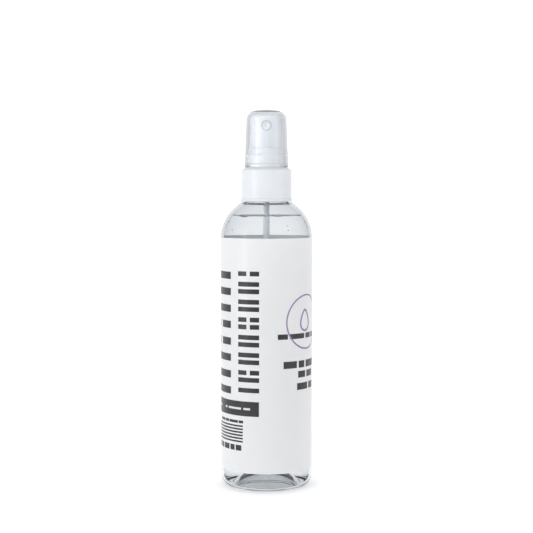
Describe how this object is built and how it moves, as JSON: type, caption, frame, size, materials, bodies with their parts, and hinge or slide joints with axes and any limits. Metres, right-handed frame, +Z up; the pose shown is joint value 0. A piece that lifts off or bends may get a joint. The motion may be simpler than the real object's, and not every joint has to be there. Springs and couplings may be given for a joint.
{
  "type": "spray bottle",
  "caption": "Clear round plastic bottle with a wrap label, holding cleaning liquid, closed by a white fine-mist finger sprayer with dip tube and a clear overcap.",
  "frame": {"origin": "centre of the base, on the surface that the bottle stands on", "axes": "+Z up along the bottle's axis; the nozzle faces -Y; +X is to the right as seen from the nozzle's side"},
  "size_m": [0.0448, 0.0448, 0.1843],
  "materials": {
    "clear_pet": "clear gloss PET",
    "clear_pp": "clear polypropylene",
    "solution": "clear water-like liquid",
    "label_paper": "white satin film",
    "white_pp": "white satin polypropylene",
    "natural_pp": "natural polypropylene",
    "natural_pe": "natural polyethylene",
    "gasket_foam": "soft foamed polyethylene",
    "steel_ball": "polished stainless steel",
    "spring_steel": "drawn stainless wire"
  },
  "bodies": {
    "bottle": {"bottle": "clear_pet", "lens_solution": "solution", "label": "label_paper"},
    "pump": {"pump_housing": "natural_pp", "housing_retainer": "white_pp", "gasket": "gasket_foam", "dip_tube": "natural_pe"},
    "closure": {"closure": "white_pp"},
    "overcap": {"overcap": "clear_pp"},
    "stem": {"stem": "white_pp", "valve_rod": "natural_pp", "return_spring": "spring_steel"},
    "piston": {"piston": "natural_pe"},
    "actuator": {"actuator": "white_pp", "nozzle_insert": "white_pp"},
    "ball": {"inlet_ball": "steel_ball"}
  },
  "joints": [
    {"name": "sprayer_rise", "type": "slide", "parent": "bottle", "child": "pump", "axis": [0, 0, 1], "range_m": [0, 0.0048]},
    {"name": "closure_turn", "type": "hinge", "parent": "pump", "child": "closure", "pos_m": [0, 0, 0.145], "axis": [0, 0, 1], "range_deg": [0, 540]},
    {"name": "overcap_lift", "type": "slide", "parent": "closure", "child": "overcap", "axis": [0, 0, 1], "range_m": [0, 0.04]},
    {"name": "actuator_press", "type": "slide", "parent": "pump", "child": "stem", "axis": [0, 0, -1], "range_m": [0, 0.0045], "stiffness_N_per_m": 1600, "springref_m": -0.0056, "deforming": ["return_spring"]},
    {"name": "piston_slip", "type": "slide", "parent": "stem", "child": "piston", "axis": [0, 0, 1], "range_m": [0, 0.0006]},
    {"name": "actuator_turn", "type": "hinge", "parent": "stem", "child": "actuator", "pos_m": [0, 0, 0.17], "axis": [0, 0, 1], "continuous": true},
    {"name": "ball_lift", "type": "slide", "parent": "pump", "child": "ball", "axis": [0, 0, 1], "range_m": [0, 0.0007]}
  ],
  "couplings": [
    {"joint": "sprayer_rise", "follows": "closure_turn", "m_per_rad": 0.00050532}
  ]
}
